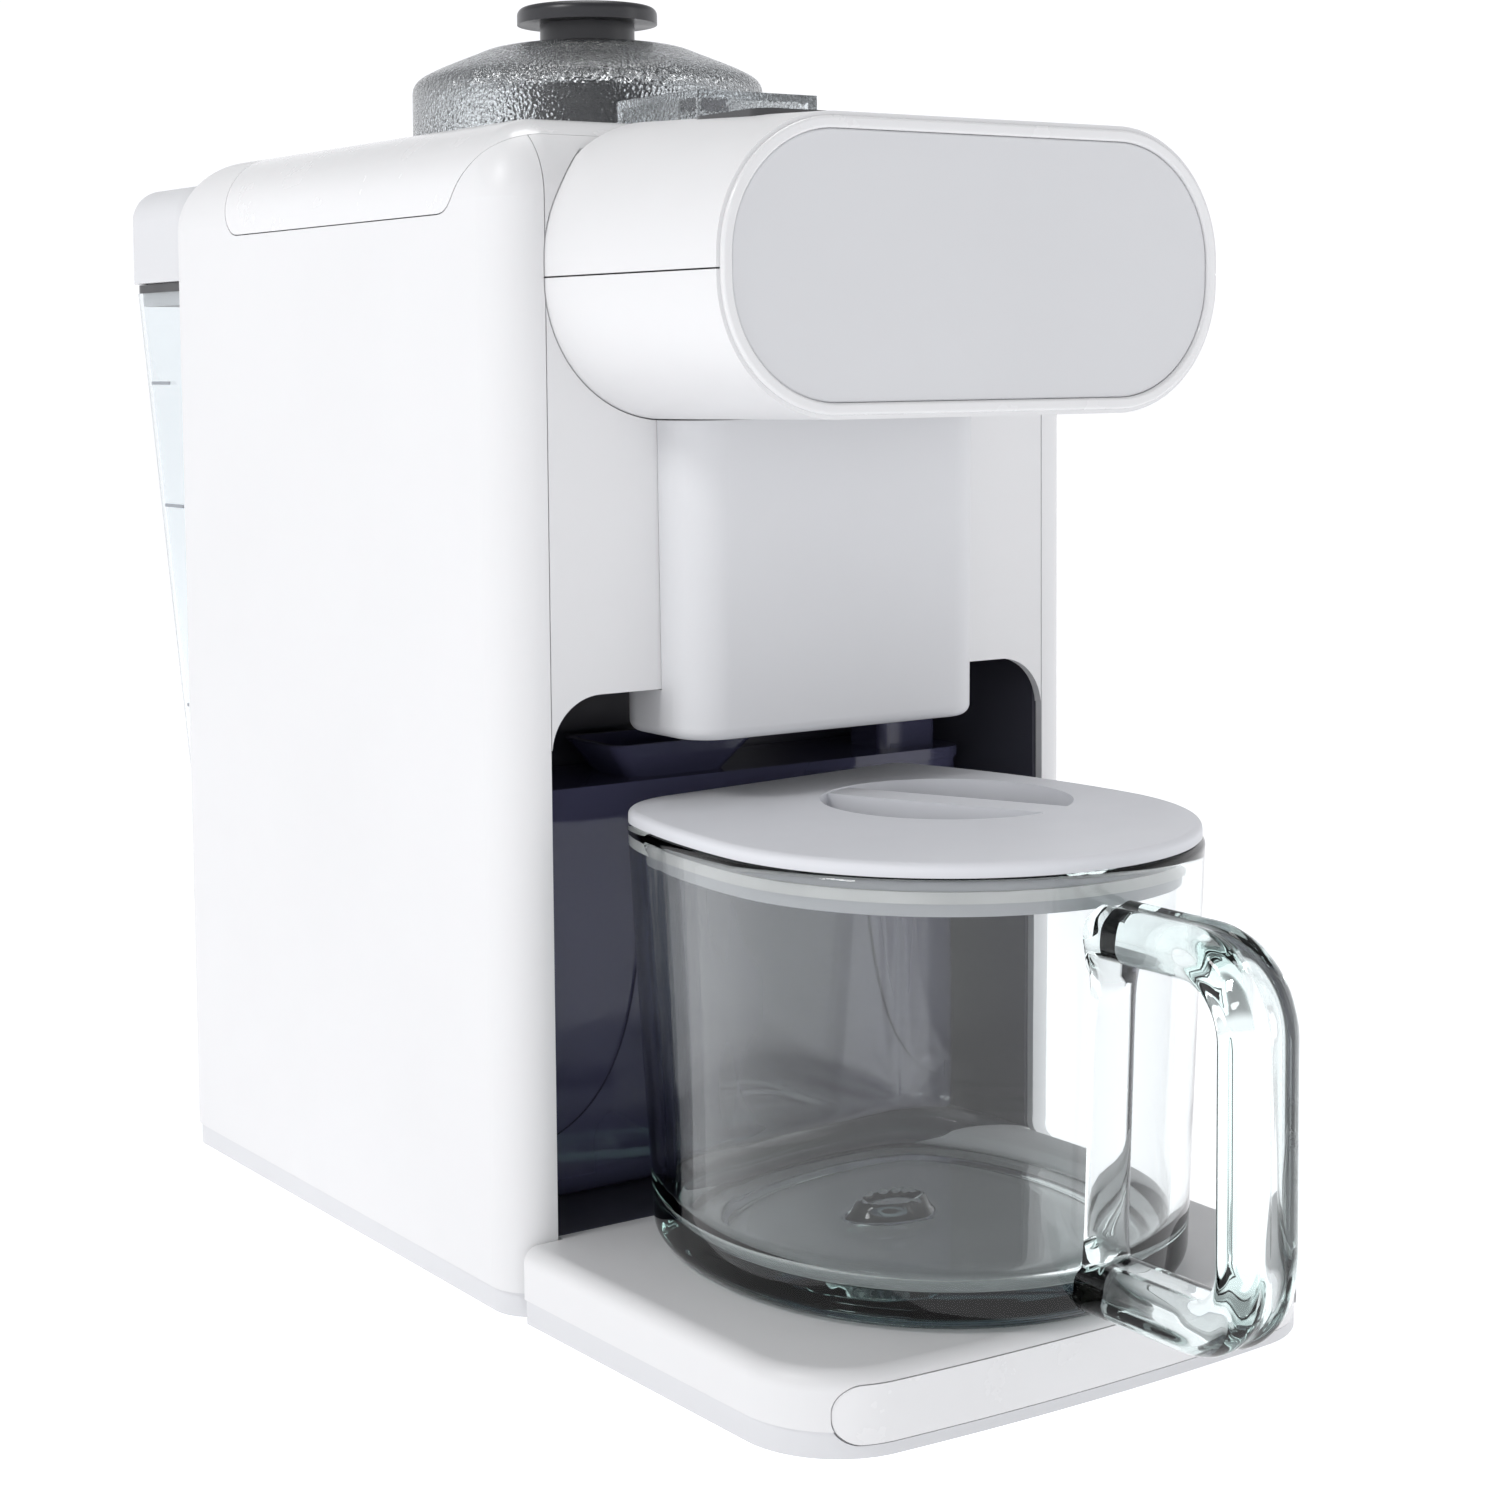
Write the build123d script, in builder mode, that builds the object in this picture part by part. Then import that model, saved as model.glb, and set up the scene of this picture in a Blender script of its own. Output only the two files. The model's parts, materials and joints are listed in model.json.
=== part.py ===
"""Countertop plant-milk brewer: grinder housing, boiler, rear water tank, waste tank, glass jug."""
import os
from math import cos, sin, radians
from build123d import *

os.makedirs("parts", exist_ok=True)

# ---- driving dimensions (mm); +Z up, front faces -Y, feet stand on z = 0 ----
F = -41.5                 # y of the front plane of the side panels
W = 180.0                 # body width
D = 202.0                 # body depth
CORNER = 12.0             # vertical corner radius of the body
SHELL = 2.5               # moulded wall
Z_BASE = 11.0             # seam between base pan and side panels
Z_TOP = 299.0             # flat top of the body
Z_SADDLE = 276.0          # lower edge of the saddle cover
TOP_R = 20.0              # rounding of the long top edges
HEAD_P = 69.4             # how far the head projects
HEAD_BACK = (156.0, 73.0, 34.0, 261.5)    # width, height, corner radius, centre z
HEAD_FRONT = (150.6, 69.4, 32.5, 260.4)
HEAD_SEAM = 259.6
BLOCK_W, BLOCK_Z0, BLOCK_Z1 = 93.4, 145.7, 226.5
ARCH_Z = 158.0            # top of the recess opening
RECESS_X = 77.0           # inner half width of the recess
RECESS_Y = 64.0           # recess depth behind F
TRAY_Z = 24.0             # drip platform surface
TRAY_FRONT = 118.0
TRAY_Z0 = 5.0             # underside of the tray
BAND_HALF, BAND_Z0, BAND_Z1, BAND_R = 69.5, 8.0, 21.0, 6.0    # inset band on the tray's front
TRAY_HALF = 79.0          # half width of the tray at its front
TRAY_X = -6.5             # the tray and the jug stand a little left of the body's middle
GX, GY = 0.0, F + 107.0   # grinder axis
DOME_R = 50.0
JX, JY = TRAY_X, F - 61.0   # jug centre
JR = 62.7                 # jug radius at the rim
JUG_Z0, JUG_RIM, LID_TOP = TRAY_Z + 0.1, 126.8, 130.2
HANDLE_OUT = 112.0        # handle reach from the jug centre
HANDLE_Z, HANDLE_H, HANDLE_W = 72.8, 93.4, 19.0    # handle's mid height, height and width
TANK_Y0, TANK_TOP_Y, TANK_BOT_Y = F + 204.5, F + 255.0, F + 225.0
TANK_Z0, TANK_Z1 = 60.0, 262.0
GAP = 0.3


def save(builder, name):
    builder.part.label = name
    export_step(builder.part, f"parts/{name}.step")


def ring(outer, inner, z0, z1, x=GX, y=GY):
    """Annular solid on a vertical axis, in the active part."""
    with BuildSketch(Plane.XY.offset(z0)) as sk:
        with Locations((x, y)):
            Circle(outer)
            if inner:
                Circle(inner, mode=Mode.SUBTRACT)
    extrude(sk.sketch, amount=z1 - z0)


def block(x0, x1, y0, y1, z0, z1, mode=Mode.ADD):
    with Locations(((x0 + x1) / 2, (y0 + y1) / 2, (z0 + z1) / 2)):
        Box(x1 - x0, y1 - y0, z1 - z0, mode=mode)


def rod(p, r, length, axis=Axis.Z, mode=Mode.ADD):
    """Cylinder starting at p and running along the axis."""
    pl = Plane(origin=p, z_dir=axis.direction)
    with BuildSketch(pl) as sk:
        Circle(r)
    extrude(sk.sketch, amount=length, mode=mode)


# ================= base =================
def body_solid(inset, z0, z1):
    """Body block with rounded corners and long top edges, as a private part."""
    with BuildPart() as p:
        with BuildSketch(Plane.XY.offset(z0)):
            with Locations((0, F + D / 2)):
                RectangleRounded(W - 2 * inset, D - 2 * inset, CORNER - inset * 0.8)
        extrude(amount=z1 - z0)
        top = p.edges().filter_by(Axis.Y).group_by(Axis.Z)[-1]
        fillet(top, TOP_R - inset)
    return p.part


outer = body_solid(0, Z_BASE + 0.2, Z_TOP)
inner = body_solid(SHELL, 0, Z_TOP - SHELL)

with BuildPart() as base_pan:
    with BuildSketch(Plane.XY.offset(5)):
        with Locations((0, F + D / 2)):
            RectangleRounded(W - 1.6, D - 1.6, CORNER - 0.8)
    extrude(amount=Z_BASE - 5)
    with BuildSketch(Plane.XY.offset(8)):
        with Locations((0, F + D / 2)):
            RectangleRounded(W - 7, D - 7, CORNER - 3)
    extrude(amount=Z_BASE - 8, mode=Mode.SUBTRACT)
    # locating wall inside the side panels
    with BuildSketch(Plane.XY.offset(8)):
        with Locations((0, F + D / 2)):
            RectangleRounded(W - 6, D - 6, CORNER - 3)
            RectangleRounded(W - 10, D - 10, CORNER - 5, mode=Mode.SUBTRACT)
    extrude(amount=10)
    # notch for the tray tongue at the front
    block(-RECESS_X, RECESS_X, F - 5, F + 8, Z_BASE - 2.6, 20, mode=Mode.SUBTRACT)
    # cooling slots under the motor
    with BuildSketch(Plane.XY.offset(4)):
        with Locations((GX, GY)):
            with GridLocations(9, 30, 7, 2):
                SlotOverall(22, 4, rotation=90)
    extrude(amount=6, mode=Mode.SUBTRACT)
    # foot recesses
    FEET = [(-68, F + 24), (68, F + 24), (-68, F + 178), (68, F + 178)]
    for fx, fy in FEET:
        rod((fx, fy, 4), 2.2, 6, mode=Mode.SUBTRACT)
    for sx in (-1, 1):
        rod((sx * 66, F + 193, 4), 1.65, 20, mode=Mode.SUBTRACT)
save(base_pan, "base_pan")

TRAY_FEET = [(-66, F - 84), (54, F - 84)]
with BuildPart() as feet:
    for fx, fy in FEET:
        with BuildSketch(Plane.XY):
            with Locations((fx, fy)):
                Circle(10)
                Circle(2.1, mode=Mode.SUBTRACT)
        extrude(amount=5)
        with BuildSketch(Plane.XY):
            with Locations((fx, fy)):
                Circle(5)
        extrude(amount=2.2, mode=Mode.SUBTRACT)
save(feet, "feet")

with BuildPart() as base_screws:
    for fx, fy in FEET:
        rod((fx, fy, 0.8), 3.6, 1.4)
        rod((fx, fy, 2.2), 2.0, 7.2)
    for sx in (-1, 1):
        rod((sx * 66, F + 193, 3.2), 3.2, 1.75)
        rod((sx * 66, F + 193, 4.9), 1.6, 19)
save(base_screws, "base_screws")

# ================= side, rear and top skins =================
SAD_Y0, SAD_Y1 = F + 10, F + 160


def saddle_profile(grow):
    """Side outline of the saddle cover, drawn in the YZ plane."""
    y0, y1, zb = SAD_Y0 - grow, SAD_Y1 + grow, Z_SADDLE - grow
    with BuildSketch(Plane.YZ.offset(-W)) as sk:
        with BuildLine():
            Polyline((y0 - 6, Z_TOP + 30), (y0 - 6, Z_TOP - 1))
            Spline((y0 - 6, Z_TOP - 1), (y0 + 4, Z_TOP - 9), (y0 + 12, zb + 7), (y0 + 22, zb),
                   tangents=[(0.6, -1), (1, 0)])
            Line((y0 + 22, zb), (y1 - 10, zb))
            Spline((y1 - 10, zb), (y1 - 1, zb + 7), (y1 + 3, Z_TOP - 4), (y1 + 5, Z_TOP + 30),
                   tangents=[(1, 0), (0, 1)])
            Line((y1 + 5, Z_TOP + 30), (y0 - 6, Z_TOP + 30))
        make_face()
    return sk.sketch


def head_solid(inset, y0, y1):
    """Rounded lozenge section tapering forward from the body front."""
    t0, t1 = (F - y0) / HEAD_P, (F - y1) / HEAD_P
    with BuildPart() as p:
        for t, y in ((t0, y0), (t1, y1)):
            w, h, r, zc = [a + (b - a) * t for a, b in zip(HEAD_BACK, HEAD_FRONT)]
            with BuildSketch(Plane(origin=(0, y, zc), x_dir=(1, 0, 0), z_dir=(0, -1, 0))):
                RectangleRounded(w - 2 * inset, h - 2 * inset, r - inset)
        loft()
    return p.part


head_core = head_solid(-GAP, F + 4, F - 10)

with BuildPart() as saddle_tool:
    extrude(saddle_profile(GAP), amount=2 * W)
with BuildPart() as saddle_keep:
    extrude(saddle_profile(0), amount=2 * W)

for side, name in ((-1, "side_panel_left"), (1, "side_panel_right")):
    with BuildPart() as panel:
        add(outer)
        add(inner, mode=Mode.SUBTRACT)
        add(saddle_tool.part, mode=Mode.SUBTRACT)
        cut = (-78.0, 200.0) if side < 0 else (-200.0, 78.0)
        block(*cut, F - 60, F + 300, 0, 400, mode=Mode.SUBTRACT)
        add(head_core, mode=Mode.SUBTRACT)
        # stiffening ribs
        for ry in (F + 52, F + 100, F + 148):
            xs = sorted((side * (W / 2 - SHELL - 3), side * (W / 2 - SHELL + 0.5)))
            block(xs[0], xs[1], ry - 1, ry + 1, 40, 250)
    save(panel, name)

with BuildPart() as rear_panel:
    add(outer)
    add(inner, mode=Mode.SUBTRACT)
    add(saddle_tool.part, mode=Mode.SUBTRACT)
    block(-200, 200, F - 60, F + D - CORNER - 30, 0, 400, mode=Mode.SUBTRACT)
    block(-200, -78 + GAP, F, F + D + 20, 0, 400, mode=Mode.SUBTRACT)
    block(78 - GAP, 200, F, F + D + 20, 0, 400, mode=Mode.SUBTRACT)
    # air slots, inlet cut-out
    with BuildSketch(Plane.XZ.offset(-(F + D + 5))):
        with Locations((30, 30)):
            with GridLocations(8, 1, 7, 1):
                SlotOverall(20, 3.5, rotation=90)
    extrude(amount=12, mode=Mode.SUBTRACT)
    block(-61.9, -34.1, F + D - 8, F + D + 3, 20.1, 41.9, mode=Mode.SUBTRACT)
    # water port
    rod((0, F + D - 8, 52), 6.2, 16, Axis.Y, mode=Mode.SUBTRACT)
    # screw bosses
    for sx in (-1, 1):
        block(sx * 66 - 4, sx * 66 + 4, F + 189, F + D - 1, 18.3, 30)
        rod((sx * 66, F + 193, 5), 1.62, 20, mode=Mode.SUBTRACT)
save(rear_panel, "rear_panel")

with BuildPart() as saddle_cover:
    add(outer)
    add(inner, mode=Mode.SUBTRACT)
    add(saddle_keep.part, mode=Mode.INTERSECT)
    with BuildSketch(Plane.XY.offset(Z_TOP - 12)):
        with Locations((GX, GY)):
            Circle(49.5)
    extrude(amount=12 - SHELL)
    with BuildSketch(Plane.XY.offset(Z_TOP - 14)):
        with Locations((GX, GY)):
            Circle(47)
    extrude(amount=30, mode=Mode.SUBTRACT)
    add(head_core, mode=Mode.SUBTRACT)
save(saddle_cover, "saddle_cover")

# ================= head =================
head_out = head_solid(0, F + 3, F - HEAD_P)
head_in = head_solid(SHELL, F + 3.5, F - HEAD_P - 0.5)
PANEL_Y = F - 36
with BuildPart() as head_upper_shell:
    add(head_out)
    add(head_in, mode=Mode.SUBTRACT)
    block(-100, 100, F - 90, F + 20, 150, HEAD_SEAM + 0.2, mode=Mode.SUBTRACT)
    # well for the control panel
    with BuildSketch(Plane.XY.offset(290)):
        with Locations((0, PANEL_Y)):
            RectangleRounded(100.6, 30.6, 5)
    extrude(amount=20, mode=Mode.SUBTRACT)
save(head_upper_shell, "head_upper_shell")

with BuildPart() as head_lower_shell:
    add(head_out)
    add(head_in, mode=Mode.SUBTRACT)
    block(-100, 100, F - 90, F + 20, HEAD_SEAM - 0.2, 350, mode=Mode.SUBTRACT)
    block(-40, 40, F - 13, F + 4, 215, 240, mode=Mode.SUBTRACT)
save(head_lower_shell, "head_lower_shell")


def lozenge(inset, y0, y1):
    w, h, r, zc = HEAD_FRONT
    with BuildSketch(Plane(origin=(0, y0, zc), x_dir=(1, 0, 0), z_dir=(0, -1, 0))) as sk:
        RectangleRounded(w - 2 * inset, h - 2 * inset, r - inset)
    extrude(sk.sketch, amount=y0 - y1)


with BuildPart() as head_face_ring:
    lozenge(1.0, F - HEAD_P + 2.5, F - HEAD_P - 1.2)
    with BuildPart(mode=Mode.SUBTRACT):
        lozenge(3.8, F - HEAD_P + 3, F - HEAD_P - 3)
    with BuildPart(mode=Mode.SUBTRACT):
        lozenge(-5, F - HEAD_P + 4, F - HEAD_P)
        with BuildPart(mode=Mode.SUBTRACT):
            lozenge(SHELL + 0.05, F - HEAD_P + 5, F - HEAD_P - 1)
    fillet(head_face_ring.edges().group_by(Axis.Y)[0], 0.8)
save(head_face_ring, "head_face_ring")

with BuildPart() as head_face_panel:
    lozenge(3.85, F - HEAD_P + 2.0, F - HEAD_P - 0.4)
    fillet(head_face_panel.edges().group_by(Axis.Y)[0], 0.6)
save(head_face_panel, "head_face_panel")

with BuildPart() as control_panel:
    with BuildSketch(Plane.XY.offset(293.5)):
        with Locations((0, PANEL_Y)):
            RectangleRounded(100, 30, 4.7)
    extrude(amount=3.6)
    with BuildSketch(Plane.XY.offset(290)):
        with Locations((34, PANEL_Y)):
            Circle(8.3)
    extrude(amount=10, mode=Mode.SUBTRACT)
save(control_panel, "control_panel")

with BuildPart() as start_button:
    with BuildSketch(Plane.XY.offset(293.6)):
        with Locations((34, PANEL_Y)):
            Circle(8.0)
    extrude(amount=4.1)
    fillet(start_button.edges().group_by(Axis.Z)[-1], 0.8)
save(start_button, "start_button")

# ================= fascia, block, recess =================
with BuildPart() as front_fascia:
    add(outer)
    add(inner, mode=Mode.SUBTRACT)
    add(saddle_tool.part, mode=Mode.SUBTRACT)
    block(-200, 200, F + CORNER - 1, F + D + 50, 0, 400, mode=Mode.SUBTRACT)
    block(-200, -77.7, F - 50, F + 50, 0, 400, mode=Mode.SUBTRACT)
    block(77.7, 200, F - 50, F + 50, 0, 400, mode=Mode.SUBTRACT)
    with BuildSketch(Plane(origin=(0, F + 20, 0), x_dir=(1, 0, 0), z_dir=(0, -1, 0))):
        with BuildLine():
            Polyline((-80, 0), (-80, ARCH_Z - 14), (-77.75, ARCH_Z - 14))
            RadiusArc((-77.75, ARCH_Z - 14), (-63.75, ARCH_Z), 14)
            Line((-63.75, ARCH_Z), (63.75, ARCH_Z))
            RadiusArc((63.75, ARCH_Z), (77.75, ARCH_Z - 14), 14)
            Polyline((77.75, ARCH_Z - 14), (80, ARCH_Z - 14), (80, 0), (-80, 0))
        make_face()
    extrude(amount=30, mode=Mode.SUBTRACT)
    add(head_core, mode=Mode.SUBTRACT)
    block(-30, 30, F - 5, F + 10, ARCH_Z - 2, 214, mode=Mode.SUBTRACT)
save(front_fascia, "front_fascia")


def block_shape(inset, z0, z1):
    with BuildPart() as p:
        for z, s in ((z0, 0.985), (z1, 1.0)):
            with BuildSketch(Plane.XY.offset(z)):
                with Locations((0, F + 4)):
                    RectangleRounded((BLOCK_W - 2 * inset) * s, 38 - 2 * inset, 11 - inset)
        loft()
    return p.part


with BuildPart() as nozzle_cover:
    add(block_shape(0, BLOCK_Z0, 224.8))
    fillet(nozzle_cover.edges().group_by(Axis.Z)[0], 3)
    add(block_shape(2.2, BLOCK_Z0 - 1, 240), mode=Mode.SUBTRACT)
    block(-60, 60, F - 0.2, F + 30, ARCH_Z - 0.3, 240, mode=Mode.SUBTRACT)
save(nozzle_cover, "nozzle_cover")

with BuildPart() as nozzle_plate:
    with BuildSketch(Plane.XY.offset(152)):
        with Locations((0, F + 4)):
            RectangleRounded(BLOCK_W - 4.4 - 1.6, 38 - 4.6, 8.6)
            with Locations((0, -8)):
                Circle(6.6, mode=Mode.SUBTRACT)
            with Locations((-22, 8)):
                Circle(5.2, mode=Mode.SUBTRACT)
    extrude(amount=2.5)
save(nozzle_plate, "nozzle_plate")

with BuildPart() as nozzles:
    ring(6.5, 3.8, 146.5, 172, 0, F - 4)
    ring(8.4, 3.8, 154.6, 157, 0, F - 4)
    ring(5.1, 3.4, 148.5, 170, -22, F + 12)
    ring(7.4, 3.4, 154.6, 157, -22, F + 12)
save(nozzles, "nozzles")

with BuildPart() as recess_liner:
    # floor, sides, back and roof of the bay behind the jug
    block(-RECESS_X - 2, RECESS_X + 2, F + 2.8, F + RECESS_Y + 2, TRAY_Z - 2.5, ARCH_Z + 2)
    block(-RECESS_X, RECESS_X, F, F + RECESS_Y, TRAY_Z - 0.05, ARCH_Z, mode=Mode.SUBTRACT)
    block(-44, 44, F, F + 23.6, 100, 170, mode=Mode.SUBTRACT)
    with BuildSketch(Plane.XY.offset(ARCH_Z - 1)):
        with Locations((0, F + 4)):
            RectangleRounded(BLOCK_W + 1, 39.2, 11.5)
    extrude(amount=6, mode=Mode.SUBTRACT)
    # magnet pocket wall on the back
    block(-6, 6, F + RECESS_Y + 2, F + RECESS_Y + 4, 60, 80)
save(recess_liner, "recess_liner")

# ================= drip tray =================
def tray_outline(grow):
    with BuildLine() as ln:
        y0, y1 = F - TRAY_FRONT - grow, F - 0.4 + min(grow, 0)
        xa, xb = TRAY_HALF + grow, TRAY_HALF + 2.5 + grow
        c = TRAY_X
        Line((c - xb, y1), (c + xb, y1))
        Line((c + xb, y1), (c + xa, y0 + 26))
        TangentArc((c + xa, y0 + 26), (c + xa - 24, y0 + 2), tangent=(xa - xb, -(y1 - y0 - 26)))
        ThreePointArc((c + xa - 24, y0 + 2), (c, y0), (c - xa + 24, y0 + 2))
        TangentArc((c - xa, y0 + 26), (c - xa + 24, y0 + 2), tangent=(xb - xa, -(y1 - y0 - 26)))
        Line((c - xa, y0 + 26), (c - xb, y1))
    make_face(ln.edges())


def tray_strip(half, z0, z1, outside, inside):
    """Round-ended strip round the tray's front, between two offsets of its outline."""
    with BuildPart() as p:
        pl = Plane(origin=(TRAY_X, F - TRAY_FRONT - 5, (z0 + z1) / 2), x_dir=(1, 0, 0), z_dir=(0, 1, 0))
        with BuildSketch(pl):
            RectangleRounded(2 * half, z1 - z0, BAND_R)
        extrude(amount=40)
        with BuildSketch(Plane.XY.offset(z0 - 1)):
            tray_outline(outside)
        extrude(amount=z1 - z0 + 2, mode=Mode.INTERSECT)
        with BuildSketch(Plane.XY.offset(z0 - 1)):
            tray_outline(-inside)
        extrude(amount=z1 - z0 + 2, mode=Mode.SUBTRACT)
    return p.part


band_pocket = tray_strip(BAND_HALF + 0.3, BAND_Z0 - 0.3, BAND_Z1 + 0.3, 3, 1.2)

with BuildPart() as tray_base:
    with BuildSketch(Plane.XY.offset(TRAY_Z0)):
        tray_outline(-0.4)
    extrude(amount=Z_BASE - 0.1 - TRAY_Z0)
    with BuildSketch(Plane.XY.offset(TRAY_Z0 + 2.6)):
        tray_outline(-5)
    extrude(amount=6, mode=Mode.SUBTRACT)
    block(-60, 60, F - 3, F + 7, 8.6, Z_BASE - 0.1)
    for fx, fy in TRAY_FEET:
        rod((fx, fy, 0), 9, TRAY_Z0 + 0.4)
    fillet(tray_base.edges().group_by(Axis.Z)[0], 1.0)
    add(band_pocket, mode=Mode.SUBTRACT)
save(tray_base, "tray_base")

with BuildPart() as drip_platform:
    with BuildSketch(Plane.XY.offset(Z_BASE + 0.1)):
        tray_outline(0)
    extrude(amount=TRAY_Z - Z_BASE - 0.1)
    fillet(drip_platform.edges().group_by(Axis.Z)[-1].filter_by(
        lambda e: e.center().Y < F - 2), 4.0)
    with BuildSketch(Plane.XY.offset(Z_BASE)):
        tray_outline(-3)
    extrude(amount=TRAY_Z - 3 - Z_BASE, mode=Mode.SUBTRACT)
    add(band_pocket, mode=Mode.SUBTRACT)
    # rear tongue that carries the waste tank
    block(-RECESS_X + 0.4, RECESS_X - 2, F - 1, F + 2.4, TRAY_Z - 3, TRAY_Z)
save(drip_platform, "drip_platform")

with BuildPart() as tray_band:
    add(tray_strip(BAND_HALF, BAND_Z0, BAND_Z1, -0.2, 1.15))
save(tray_band, "tray_band")

# ================= waste tank =================
WX, WY0, WY1, WZ0, WZ1 = 72.0, F + 25.0, F + 61.0, TRAY_Z + 0.1, 128.0


def waste_outer(inset, z0, z1):
    with BuildPart() as p:
        with BuildSketch(Plane.XY.offset(z0)):
            with Locations((0, (WY0 + WY1) / 2)):
                RectangleRounded(2 * (WX - inset), WY1 - WY0 - 2 * inset, 9 - inset)
        extrude(amount=z1 - z0)
    return p.part


with BuildPart() as waste_tank:
    add(waste_outer(0, WZ0, WZ1))
    fillet(waste_tank.edges().group_by(Axis.Z)[0], 6)
    with BuildPart(mode=Mode.SUBTRACT) as cav:
        add(waste_outer(2.2, WZ0 + 2.4, WZ1 + 2))
        fillet(cav.edges().group_by(Axis.Z)[0], 4)
    # moulded rib sweeping down the front wall
    for sx in (-1, 1):
        with BuildSketch(Plane(origin=(0, WY0 + 0.5, 0), x_dir=(1, 0, 0), z_dir=(0, -1, 0))):
            with BuildLine():
                Spline((sx * 30, 124), (sx * 36, 78), (sx * 50, 46), (sx * 64, 38))
                Line((sx * 64, 38), (sx * 64, 42))
                Spline((sx * 64, 42), (sx * 53, 49), (sx * 39.5, 79), (sx * 34, 124))
                Line((sx * 34, 124), (sx * 30, 124))
            make_face()
        extrude(amount=1.3)
save(waste_tank, "waste_tank")

with BuildPart() as waste_tank_lid:
    with BuildSketch(Plane.XY.offset(WZ1 + 0.05)):
        with Locations((0, (WY0 + WY1) / 2)):
            RectangleRounded(2 * WX + 1.6, WY1 - WY0 + 1.0, 9.4)
    extrude(amount=3)
    with BuildSketch(Plane.XY.offset(WZ1 - 4)):
        with Locations((0, (WY0 + WY1) / 2)):
            RectangleRounded(2 * WX - 4.6, WY1 - WY0 - 4.6, 6.6)
            RectangleRounded(2 * WX - 8, WY1 - WY0 - 8, 5.0, mode=Mode.SUBTRACT)
    extrude(amount=4.2)
    # funnel lip under the drain nozzle
    for z, sx_, sy_ in ((WZ1 + 3, 30, 20),):
        with BuildSketch(Plane.XY.offset(z)):
            with Locations((-22, F + 40)):
                RectangleRounded(sx_, sy_, 3)
        with BuildSketch(Plane.XY.offset(z + 9.5)):
            with Locations((-22, F + 38)):
                RectangleRounded(46, 27, 4)
        loft()
        with BuildSketch(Plane.XY.offset(z - 4)):
            with Locations((-22, F + 40)):
                RectangleRounded(20, 12, 2)
        with BuildSketch(Plane.XY.offset(z + 10)):
            with Locations((-22, F + 38)):
                RectangleRounded(42.5, 23.5, 3)
        loft(mode=Mode.SUBTRACT)
    # small grip lug on the right
    with BuildSketch(Plane.XY.offset(WZ1 + 2)):
        with Locations((57, F + 40)):
            RectangleRounded(20, 16, 3)
    extrude(amount=11)
save(waste_tank_lid, "waste_tank_lid")

# ================= jug =================
def jug_face(s, z):
    pts = [(x * s + JX, y * s + JY) for x, y in
           ((-JR, 0), (0, -JR), (JR, 0), (60.45, 30), (47, 78), (-52, 66), (-60.5, 30))]
    with BuildSketch(Plane.XY.offset(z)) as sk:
        with BuildLine():
            ThreePointArc(pts[0], pts[1], pts[2])
            ThreePointArc(pts[2], pts[3], pts[4])
            Line(pts[4], pts[5])
            ThreePointArc(pts[5], pts[6], pts[0])
        make_face()
        vs = sk.vertices()
        fillet([v for v in vs if abs(v.X - pts[4][0]) < 0.1 and abs(v.Y - pts[4][1]) < 0.1], 5 * s)
        fillet([v for v in sk.vertices()
                if abs(v.X - pts[5][0]) < 0.1 and abs(v.Y - pts[5][1]) < 0.1], 25 * s)
    return sk.sketch


with BuildPart() as jug_glass:
    loft([jug_face(0.935, JUG_Z0), jug_face(1.0, JUG_RIM)])
    fillet(jug_glass.edges().group_by(Axis.Z)[0], 5)
    # handle: rounded loop standing off the front
    with BuildSketch(Plane(origin=(JX, JY, 0), x_dir=(0, -1, 0), z_dir=(-1, 0, 0))) as hs:
        with Locations(((50 + HANDLE_OUT) / 2, HANDLE_Z)):
            RectangleRounded(HANDLE_OUT - 50, HANDLE_H, 20)
        with Locations(((50 + HANDLE_OUT) / 2 - 16, HANDLE_Z)):
            Rectangle(24, HANDLE_H)
        with Locations((81.2, HANDLE_Z)):
            RectangleRounded(34.6, HANDLE_H - 22, 11, mode=Mode.SUBTRACT)
    extrude(amount=HANDLE_W / 2, both=True)
    with BuildPart(mode=Mode.SUBTRACT) as jcav:
        loft([jug_face(0.868, JUG_Z0 + 7), jug_face(0.938, JUG_RIM + 0.01)])
        fillet(jcav.edges().group_by(Axis.Z)[0], 7)
    # moulded boss on the floor
    with BuildSketch(Plane.XY.offset(JUG_Z0 + 5)):
        with Locations((JX + 10, JY + 14)):
            Ellipse(10.5, 8)
    extrude(amount=5)
save(jug_glass, "jug_glass")

with BuildPart() as jug_lid:
    extrude(jug_face(0.988, JUG_RIM + 0.1), amount=LID_TOP - JUG_RIM - 0.1)
    fillet(jug_lid.edges().group_by(Axis.Z)[-1], 1.6)
    extrude(jug_face(0.915, JUG_RIM - 9), amount=10)
    extrude(jug_face(0.875, JUG_RIM - 10), amount=10, mode=Mode.SUBTRACT)
    # round finger well with a grip bar across it
    with BuildSketch(Plane.XY.offset(LID_TOP - 9.5)):
        with Locations((JX + 18, JY + 20)):
            Circle(33.5)
    extrude(amount=9)
    with BuildSketch(Plane.XY.offset(LID_TOP - 7.6)):
        with Locations((JX + 18, JY + 20)):
            Circle(31.5)
    extrude(amount=20, mode=Mode.SUBTRACT)
    with BuildSketch(Plane.XY.offset(LID_TOP - 8)):
        with Locations((JX + 18, JY + 20)):
            Rectangle(66, 11, rotation=-66)
            Circle(32, mode=Mode.INTERSECT)
    extrude(amount=7.6)
save(jug_lid, "jug_lid")

with BuildPart() as jug_lid_seal:
    extrude(jug_face(0.930, JUG_RIM - 6.0), amount=2.6)
    extrude(jug_face(0.9155, JUG_RIM - 8), amount=7, mode=Mode.SUBTRACT)
save(jug_lid_seal, "jug_lid_seal")

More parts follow.
